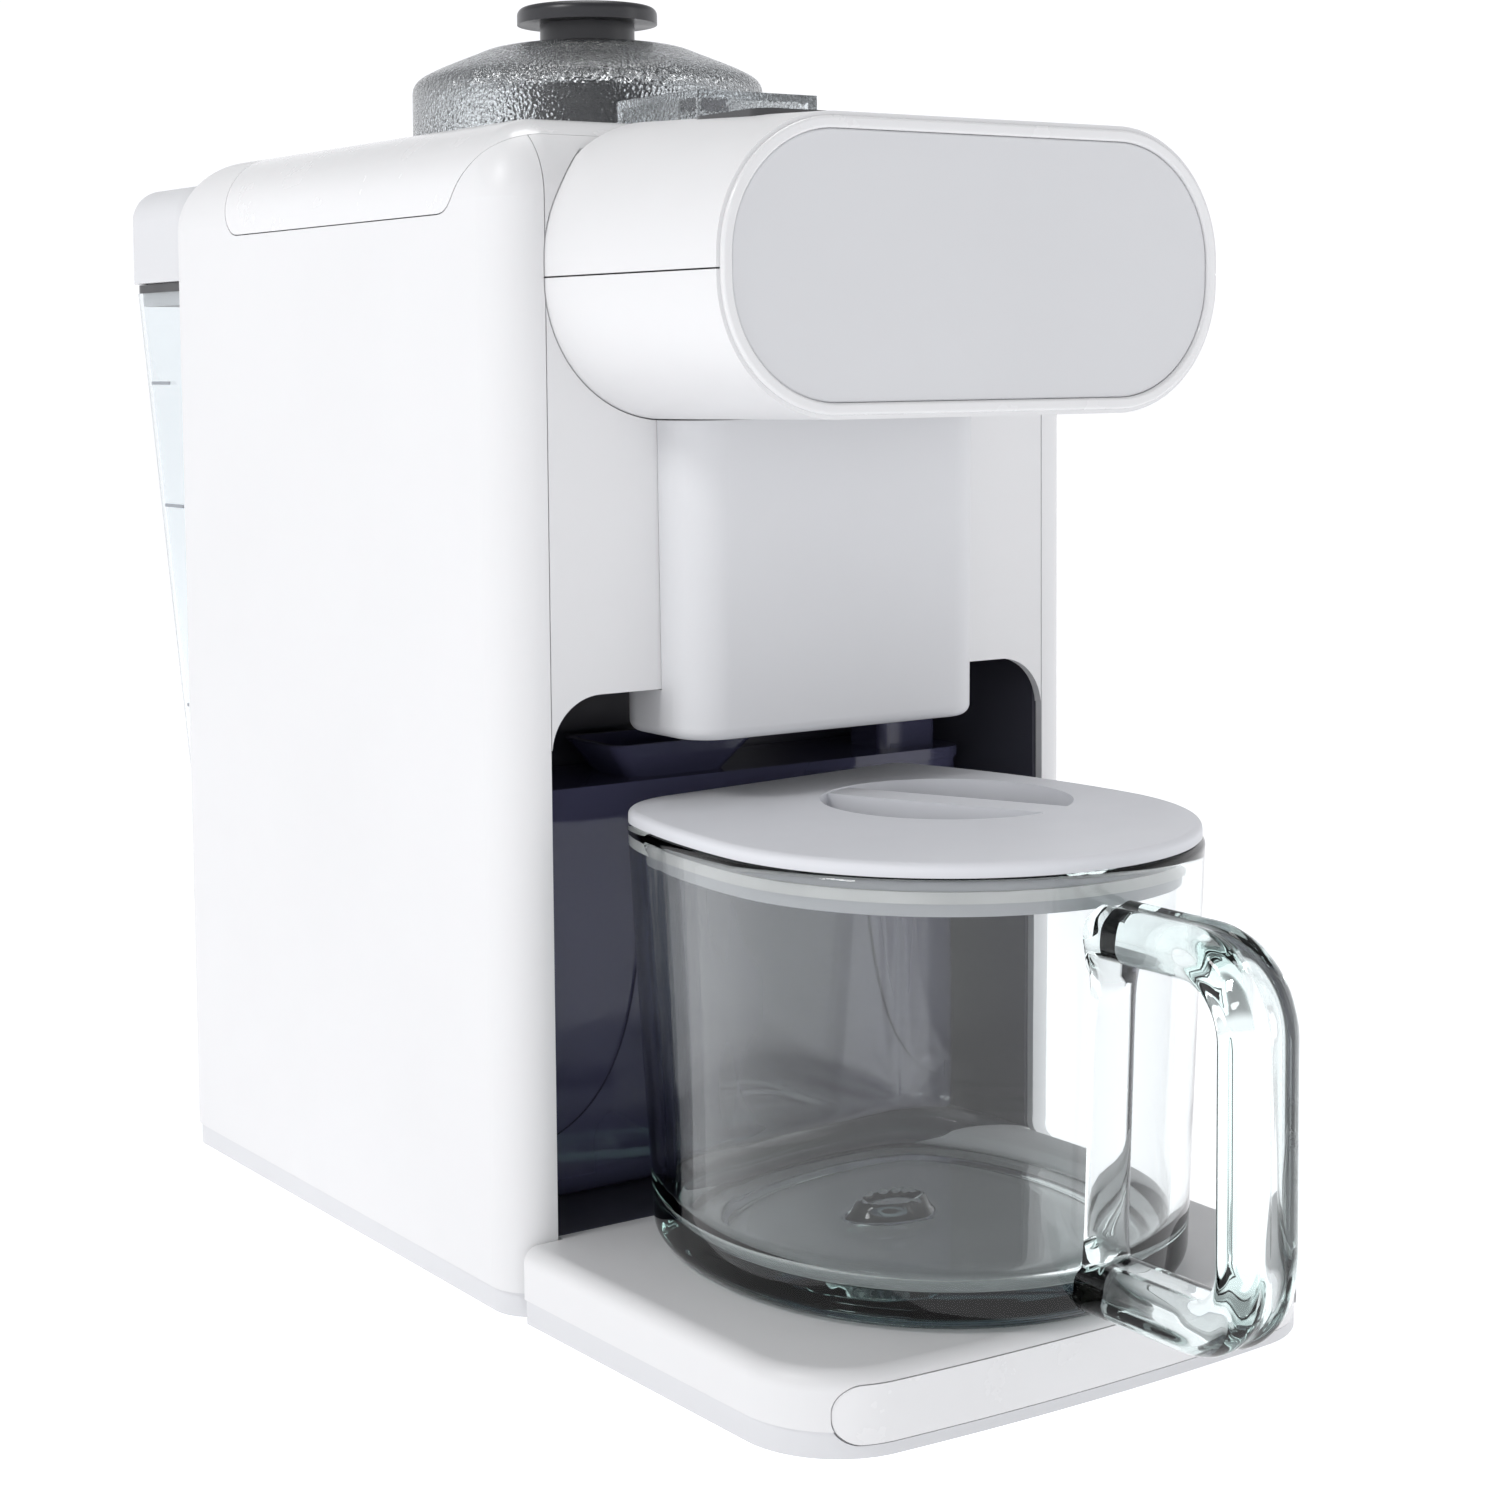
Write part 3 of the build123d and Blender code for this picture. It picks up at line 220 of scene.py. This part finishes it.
def layered(name, color):
    """Stacked laminations: thin lines across the height."""
    m, nt, b = new_mat(name, color, 0.45, 0.9)
    w = nt.nodes.new("ShaderNodeTexWave")
    w.bands_direction = "Z"
    w.inputs["Scale"].default_value = 320
    w.inputs["Distortion"].default_value = 0.3
    nt.links.new(object_coords(nt), w.inputs["Vector"])
    lines = w.outputs["Fac"]
    nt.links.new(ramp(nt, lines, 0.2, 0.8, tone(color, 0.6), color), b.inputs["Base Color"])
    bump(nt, b, lines, 0.4, 0.0002)
    return m


def paint_shade_in_recess(m, z_dark, z_light, k):
    """Painted shade: deepens the tone below z_light, down to k times at z_dark, where a recess lies in
    shadow.
    """
    nt = m.node_tree
    base = nt.nodes["Principled BSDF"].inputs["Base Color"]
    src = base.links[0].from_socket
    xyz = nt.nodes.new("ShaderNodeSeparateXYZ")
    nt.links.new(object_coords(nt), xyz.inputs["Vector"])
    scale = nt.nodes.new("ShaderNodeVectorMath")
    scale.operation = "SCALE"
    nt.links.new(src, scale.inputs[0])
    nt.links.new(remap(nt, xyz.outputs["Z"], k, 1.0, z_dark, z_light), scale.inputs["Scale"])
    nt.links.new(scale.outputs["Vector"], base)


# ---------------------------------------------------------------- materials, one per slot
mats = {
    "white_plastic": moulded("white_plastic_m", (0.745, 0.745, 0.75), 0.40),
    "gloss_white": moulded("gloss_white_m", (0.77, 0.77, 0.775), 0.24, 0.02, 0.35),
    "light_grey_plastic": moulded("light_grey_plastic_m", (0.66, 0.665, 0.68), 0.38),
    "liner_grey": moulded("liner_grey_m", (0.055, 0.055, 0.072), 0.35, 0.05),
    "lid_white": moulded("lid_white_m", (0.71, 0.72, 0.75), 0.50, 0.10),
    "black_plastic": moulded("black_plastic_m", (0.022, 0.022, 0.026), 0.34, 0.05, 0.0, 0.36),
    "touch_black": moulded("touch_black_m", (0.015, 0.015, 0.018), 0.12, 0.0, 0.6),
    "mark_grey": moulded("mark_grey_m", (0.30, 0.32, 0.35), 0.5, 0.02),
    "clear_plastic": clear("clear_plastic_m", (0.93, 0.96, 0.97), 0.03, 1.47, (0.80, 0.90, 0.93), 14),
    "pebbled_clear": clear("pebbled_clear_m", (0.95, 0.97, 0.98), 0.12, 1.47, (0.80, 0.88, 0.92), 10,
                           haze=0.06, pebble=0.40, pebble_scale=1250),
    "smoky_plastic": clear("smoky_plastic_m", (0.13, 0.13, 0.235), 0.08, 1.49, (0.45, 0.45, 0.58), 60,
                           transmission=0.5),
    "jug_glass": clear("jug_glass_m", (0.995, 0.995, 1.0), 0.0, 1.45, (0.72, 0.91, 0.87), 20,
                       haze=0.008),
    "rubber_grey": rubber("rubber_grey_m", (0.40, 0.41, 0.43)),
    "silicone": rubber("silicone_m", (0.72, 0.72, 0.71), 0.55),
    "stainless": metal("stainless_m", (0.62, 0.62, 0.63), 0.25, (1, 1, 14)),
    "steel": metal("steel_m", (0.52, 0.52, 0.54), 0.34, (1, 1, 5)),
    "laminated_steel": layered("laminated_m", (0.34, 0.34, 0.37)),
    "copper": metal("copper_m", (0.72, 0.32, 0.17), 0.32, (1, 1, 30), 0.6, 380),
    "board_green": board("board_green_m"),
    "magnet": metal("magnet_m", (0.16, 0.16, 0.17), 0.3),
}
glass_shader = mats["jug_glass"].node_tree.nodes["Principled BSDF"]
glass_shader.inputs["Specular IOR Level"].default_value = 0.32
# painted shade: the lid's finger well is darkened by height, to 0.80 of its tone
paint_shade_in_recess(mats["lid_white"], LID_TOP - 0.005, LID_TOP - 0.001, 0.80)

slot_of = {s["node"]: s["material_slot"] for s in frame["record"]["subparts"]}
own_material = {"grinder_lid": "pebbled_clear"}
for name, obj in nodes.items():
    obj.data.materials.clear()
    obj.data.materials.append(mats[own_material.get(name, slot_of[name])])


# ---------------------------------------------------------------- mesh helpers
def add_mesh(name, verts, faces, mat):
    me = bpy.data.meshes.new(name)
    me.from_pydata([tuple(v) for v in verts], [], faces)
    me.validate()
    bm = bmesh.new()
    bm.from_mesh(me)
    bmesh.ops.recalc_face_normals(bm, faces=bm.faces)
    bm.to_mesh(me)
    bm.free()
    o = bpy.data.objects.new(name, me)
    bpy.context.collection.objects.link(o)
    me.materials.append(mat)
    return o


def arc_points(a, b, c, n):
    """n points from a through b towards c on their circle, a included, anticlockwise."""
    ax, ay, bx, by, cx, cy = *a, *b, *c
    d = 2 * (ax * (by - cy) + bx * (cy - ay) + cx * (ay - by))
    a2, b2, c2 = ax**2 + ay**2, bx**2 + by**2, cx**2 + cy**2
    ux = (a2 * (by - cy) + b2 * (cy - ay) + c2 * (ay - by)) / d
    uy = (a2 * (cx - bx) + b2 * (ax - cx) + c2 * (bx - ax)) / d
    r = math.hypot(ax - ux, ay - uy)
    t0, t1, t2 = (math.atan2(p[1] - uy, p[0] - ux) for p in (a, b, c))
    while t1 < t0:
        t1 += 2 * math.pi
    while t2 < t1:
        t2 += 2 * math.pi
    turns = [t0 + (t2 - t0) * i / n for i in range(n)]
    return [(ux + r * math.cos(t), uy + r * math.sin(t)) for t in turns]


def resample(q, n):
    """n points evenly spaced along the closed outline q."""
    run = [0.0]
    for i, a in enumerate(q):
        run.append(run[-1] + math.dist(a, q[(i + 1) % len(q)]))
    out, j = [], 0
    for k in range(n):
        s = run[-1] * k / n
        while run[j + 1] < s:
            j += 1
        t = (s - run[j]) / max(run[j + 1] - run[j], 1e-9)
        a, b = q[j], q[(j + 1) % len(q)]
        out.append((a[0] + (b[0] - a[0]) * t, a[1] + (b[1] - a[1]) * t))
    return out


def relax(q, weights, rounds):
    """Moves each point towards the middle of its neighbours, by its weight, again and again."""
    n = len(q)
    for _ in range(rounds):
        q = [(x + w * 0.5 * ((q[i - 1][0] + q[(i + 1) % n][0]) / 2 - x),
              y + w * 0.5 * ((q[i - 1][1] + q[(i + 1) % n][1]) / 2 - y))
             for i, ((x, y), w) in enumerate(zip(q, weights))]
    return q


# ---------------------------------------------------------------- the jug's plan, mm about its centre
def sharp_plan(count=360):
    """The rim's outline: a round front, a pouring corner and a widely rounded back corner."""
    pour, back = (47, 78), (-52, 66)
    straight = [(pour[0] + (back[0] - pour[0]) * i / 300, pour[1] + (back[1] - pour[1]) * i / 300)
                for i in range(300)]
    dense = arc_points((-RIM_R, 0), (0, -RIM_R), (RIM_R, 0), 600)
    dense += arc_points((RIM_R, 0), (60.45, 30), pour, 300)
    dense += straight
    dense += arc_points(back, (-60.5, 30), (-RIM_R, 0), 300)
    q = resample(dense, 2 * count)
    for corner, reach, rounds in ((back, 34, 900), (pour, 10, 90)):
        weights = [max(0.0, 1 - math.dist(p, corner) / reach) ** 0.5 for p in q]
        q = relax(q, weights, rounds)
    return resample(q, count)


def soft_plan(q):
    """The plan with its corners run into one soft oval, for the bottom of the jug."""
    soft = relax(q, [1.0] * len(q), 1500)
    grow = min(y for x, y in q) / min(y for x, y in soft)
    return [(x * grow, y * grow) for x, y in soft]


PLAN = sharp_plan()
SOFT_PLAN = soft_plan(PLAN)
N = len(PLAN)


def ring(s, z, height=None, soft=0.0):
    """The plan at scale s and height z, blended towards the soft plan."""
    out = []
    for (px, py), (qx, qy) in zip(PLAN, SOFT_PLAN):
        x, y = (px + (qx - px) * soft) * s, (py + (qy - py) * soft) * s
        rise = height(x, y) if height else 0.0
        out.append(Vector((JX + x * MM, JY + y * MM, z + rise)))
    return out


def tube_faces(rows, m):
    """Quads between rows of m points, each row closed on itself."""
    return [(k * m + i, k * m + (i + 1) % m, (k + 1) * m + (i + 1) % m, (k + 1) * m + i)
            for k in range(rows - 1) for i in range(m)]


def skin(rows):
    """Closed skin over rings of points, with a fan at each end."""
    verts = [v for r in rows for v in r]
    faces = tube_faces(len(rows), N)
    for row, first, flip in ((rows[0], 0, True), (rows[-1], (len(rows) - 1) * N, False)):
        verts.append(sum(row, Vector()) / N)
        c = len(verts) - 1
        for i in range(N):
            a, b = first + i, first + (i + 1) % N
            faces.append((c, b, a) if flip else (c, a, b))
    return verts, faces


# ---------------------------------------------------------------- jug body
FOOT_H = 0.0055           # outer rounding at the foot
LIP = 0.0022              # half-round on the rim
FLOOR_H = 0.007           # thickness of the floor
COVE_H = 0.009            # inner rounding above the floor
COVE_S = 0.145            # how far that rounding reaches in, in plan scale
WELL_Z = Z0 + FLOOR_H + COVE_H
BASE_SOFT, WALL_SOFT = 0.7, 0.55


def outer_scale(z):
    return 0.935 + 0.065 * (z - Z0) / (RIM - Z0)


def inner_scale(z):
    return 0.868 + 0.070 * (z - Z0 - FLOOR_H) / (RIM - Z0 - FLOOR_H)


def boss(x, y):
    """Oval pressed boss on the floor of the jug, height in metres at plan mm."""
    d = math.sqrt(((x + 6) / 11.0) ** 2 + ((y - 12) / 8.0) ** 2)
    lip = math.exp(-((d - 0.80) / 0.18) ** 2)
    core = 1 / (1 + math.exp((d - 0.9) * 22))
    return (2.4 * core + 1.8 * lip) * MM


def jug_rings():
    rows = []
    # underside: a shallow hollow, its edge and the ring that it stands on
    under = [(s, 0.0016) for s in (0.05, 0.2, 0.4, 0.55, 0.64)]
    under += [(0.67, 0.0014), (0.69, 0.0006), (0.71, 0.0001), (0.74, 0.0), (0.80, 0.0), (0.845, 0.0)]
    for s, dz in under:
        rows.append(ring(s, Z0 + dz, soft=BASE_SOFT))
    for k in range(1, 9):
        a = math.pi / 2 * k / 8
        rows.append(ring(0.855 + 0.0838 * math.sin(a), Z0 + FOOT_H * (1 - math.cos(a)), soft=BASE_SOFT))
    # outer wall, rim and inner wall
    steps = 39
    for k in range(1, steps + 1):
        z = Z0 + FOOT_H + (RIM - LIP - Z0 - FOOT_H) * k / steps
        rows.append(ring(outer_scale(z), z, soft=BASE_SOFT * (1 - k / steps) ** 2))
    middle = (outer_scale(RIM) + inner_scale(RIM)) / 2
    half = (outer_scale(RIM) - inner_scale(RIM)) / 2
    for k in range(1, 12):
        a = math.pi * k / 12
        rows.append(ring(middle + half * math.cos(a), RIM - LIP + LIP * math.sin(a)))
    for k in range(steps + 1):
        z = RIM - LIP - (RIM - LIP - WELL_Z) * k / steps
        rows.append(ring(inner_scale(z), z, soft=WALL_SOFT * (k / steps) ** 2))
    # rounding into the floor, then the floor with its boss
    s_wall = inner_scale(WELL_Z)
    for k in range(1, 11):
        a = math.pi / 2 * k / 10
        rows.append(ring(s_wall - COVE_S * (1 - math.cos(a)), WELL_Z - COVE_H * math.sin(a),
                         soft=WALL_SOFT + (1 - WALL_SOFT) * k / 10))
    s_floor = s_wall - COVE_S
    for k in range(1, 37):
        s = s_floor * (1 - k / 37)
        swell = 0.0008 * (1 - (s / s_floor) ** 2)
        rows.append(ring(s, Z0 + FLOOR_H + swell, boss, soft=1.0))
    return rows


# ---------------------------------------------------------------- jug handle
BAR_HALF_W, BAR_HALF_T = 0.0092, 0.0062
BAR_R = 0.1056            # middle of the upright bar, from the jug's centre
LOOP_TOP, LOOP_LOW = Z0 + 0.0890, Z0 + 0.0084
LOOP_CORNER = 0.0165
TOP_ROOT, LOW_ROOT = 0.0602, 0.0572


def handle_path():
    """Middle line of the loop: reach, height, and the outward direction."""
    knee = BAR_R - LOOP_CORNER
    path = [(TOP_ROOT + (knee - TOP_ROOT) * k / 9, LOOP_TOP, 0, 1) for k in range(9)]
    quarter = [math.pi / 2 * k / 18 for k in range(19)]
    for a in quarter:
        c, s = math.cos(a), math.sin(a)
        path.append((knee + LOOP_CORNER * s, LOOP_TOP - LOOP_CORNER + LOOP_CORNER * c, s, c))
    drop = LOOP_TOP - LOOP_LOW - 2 * LOOP_CORNER
    for k in range(1, 22):
        path.append((BAR_R, LOOP_TOP - LOOP_CORNER - drop * k / 22, 1, 0))
    for a in quarter:
        c, s = math.cos(a), math.sin(a)
        path.append((knee + LOOP_CORNER * c, LOOP_LOW + LOOP_CORNER - LOOP_CORNER * s, c, -s))
    path += [(knee - (knee - LOW_ROOT) * k / 9, LOOP_LOW, 0, -1) for k in range(1, 10)]
    return path


def handle_section(m=56, power=2.7):
    """Rounded bar with a flute along its outside and a shallow hollow inside."""
    section = []
    for i in range(m):
        c, s = math.cos(2 * math.pi * i / m), math.sin(2 * math.pi * i / m)
        u = BAR_HALF_W * math.copysign(abs(c) ** (2 / power), c)
        v = BAR_HALF_T * math.copysign(abs(s) ** (2 / power), s)
        if s > 0.3:
            v -= 0.0011 * math.exp(-(u / 0.0021) ** 2)
            v += 0.0003 * math.exp(-((abs(u) - 0.0042) / 0.0018) ** 2)
        if s < -0.3:
            v += 0.0008 * math.exp(-(u / 0.0030) ** 2)
        section.append((u, v))
    return section


def capped(verts, rows, m):
    faces = tube_faces(rows, m)
    faces.append(tuple(range(m)))
    faces.append(tuple((rows - 1) * m + i for i in reversed(range(m))))
    return verts, faces


def handle_mesh():
    """Fluted loop standing off the front of the jug."""
    path, section = handle_path(), handle_section()
    verts = [Vector((JX + u, JY - (r + nr * v), z + nz * v)) for r, z, nr, nz in path for u, v in section]
    return capped(verts, len(path), len(section))


def rib_mesh(rows=30, m=20):
    """Thick vertical web that ties the two roots of the handle to the wall."""
    low, high = 0.006, 0.0872
    verts = []
    for k in range(rows + 1):
        t = k / rows
        z = Z0 + low + (high - low) * t
        wall = outer_scale(z) * RIM_R * MM
        flare = 0.0035 * (math.exp(-(t / 0.10) ** 2) + math.exp(-((1 - t) / 0.10) ** 2))
        for i in range(m):
            a = 2 * math.pi * i / m
            u = (0.0070 + 0.2 * flare) * math.cos(a)
            v = (0.0030 + flare) * math.sin(a)
            verts.append(Vector((JX + u, JY - (wall - 0.0012 + v), z)))
    return capped(verts, rows + 1, m)


# ---------------------------------------------------------------- one glass jug
jug = add_mesh("jug_glass_fine", *skin(jug_rings()), mats["jug_glass"])
for maker, label in ((handle_mesh, "jug_handle_tmp"), (rib_mesh, "jug_rib_tmp")):
    tool = add_mesh(label, *maker(), mats["jug_glass"])
    mod = jug.modifiers.new("join", "BOOLEAN")
    mod.operation, mod.object, mod.solver = "UNION", tool, "EXACT"
    bpy.context.view_layer.objects.active = jug
    jug.select_set(True)
    bpy.ops.object.modifier_apply(modifier=mod.name)
    bpy.data.objects.remove(tool, do_unlink=True)
for p in jug.data.polygons:
    p.use_smooth = True
jug.data.set_sharp_from_angle(angle=math.radians(52))
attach(jug, "jug_group")
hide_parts("jug_glass")

# ---------------------------------------------------------------- floor
bpy.ops.mesh.primitive_plane_add(size=60, location=(0, 0, -0.0002))
floor = bpy.context.object
floor.name = "floor"
floor_mat, floor_nt, floor_shader = new_mat("floor_m", (0.84, 0.84, 0.85), 0.6)
floor_tone = ramp(floor_nt, noise(floor_nt, 3, 3), 0.3, 0.7, (0.83, 0.83, 0.84), (0.85, 0.85, 0.86))
floor_nt.links.new(floor_tone, floor_shader.inputs["Base Color"])
floor_shader.inputs["Emission Color"].default_value = (0.975, 0.98, 1, 1)
floor_shader.inputs["Emission Strength"].default_value = 0.62
floor.data.materials.append(floor_mat)

# ---------------------------------------------------------------- world
# white near the horizon, dimmer overhead, so that upright faces and glass edges show
world = bpy.data.worlds.new("studio")
bpy.context.scene.world = world
world.use_nodes = True
world_nt = world.node_tree
background = world_nt.nodes["Background"]
direction = world_nt.nodes.new("ShaderNodeTexCoord").outputs["Generated"]
split = world_nt.nodes.new("ShaderNodeSeparateXYZ")
world_nt.links.new(direction, split.inputs["Vector"])
sky = world_nt.nodes.new("ShaderNodeMapRange")
sky.interpolation_type = "SMOOTHSTEP"
sky.inputs["From Min"].default_value, sky.inputs["From Max"].default_value = 0.22, 0.55
sky.inputs["To Min"].default_value, sky.inputs["To Max"].default_value = 1.09, 0.36
world_nt.links.new(split.outputs["Z"], sky.inputs["Value"])
world_nt.links.new(sky.outputs["Result"], background.inputs["Strength"])
background.inputs["Color"].default_value = (0.97, 0.975, 1.0, 1)
bpy.context.scene.view_settings.view_transform = "Standard"


# ---------------------------------------------------------------- lights
def area(name, loc, target, size, power):
    d = bpy.data.lights.new(name, "AREA")
    d.shape = "RECTANGLE"
    d.size, d.size_y = size
    d.energy = power
    o = bpy.data.objects.new(name, d)
    bpy.context.collection.objects.link(o)
    o.location = loc
    o.rotation_mode = "QUATERNION"
    o.rotation_quaternion = (Vector(target) - Vector(loc)).to_track_quat("-Z", "Y")


area("key", (-1.2, -0.1, 1.25), (0, 0, 0.15), (0.4, 0.4), 8)
area("fill", (1.5, -1.3, 0.9), (0, 0, 0.15), (0.5, 1.5), 2)
area("top", (0.2, 0.4, 1.9), (0, 0, 0.1), (0.8, 0.8), 7)

# ---------------------------------------------------------------- camera
YAW, PITCH, ROLL = 0.5941, 0.0763, -0.0091
forward = Vector((math.sin(YAW) * math.cos(PITCH), math.cos(YAW) * math.cos(PITCH), -math.sin(PITCH)))
level = Vector((math.cos(YAW), -math.sin(YAW), 0))
upright = level.cross(forward)
right = math.cos(ROLL) * level + math.sin(ROLL) * upright
up = -math.sin(ROLL) * level + math.cos(ROLL) * upright
camera_data = bpy.data.cameras.new("camera")
camera_data.sensor_width = 36
camera_data.lens = 65.4528
camera_data.shift_x, camera_data.shift_y = 0.0195, -0.12
camera = bpy.data.objects.new("camera", camera_data)
bpy.context.collection.objects.link(camera)
pose = Matrix((right, up, -forward)).transposed().to_4x4()
pose.translation = Vector((-0.41117, FRONT_Y - 0.56732, 0.23912))
camera.matrix_world = pose
bpy.context.scene.camera = camera
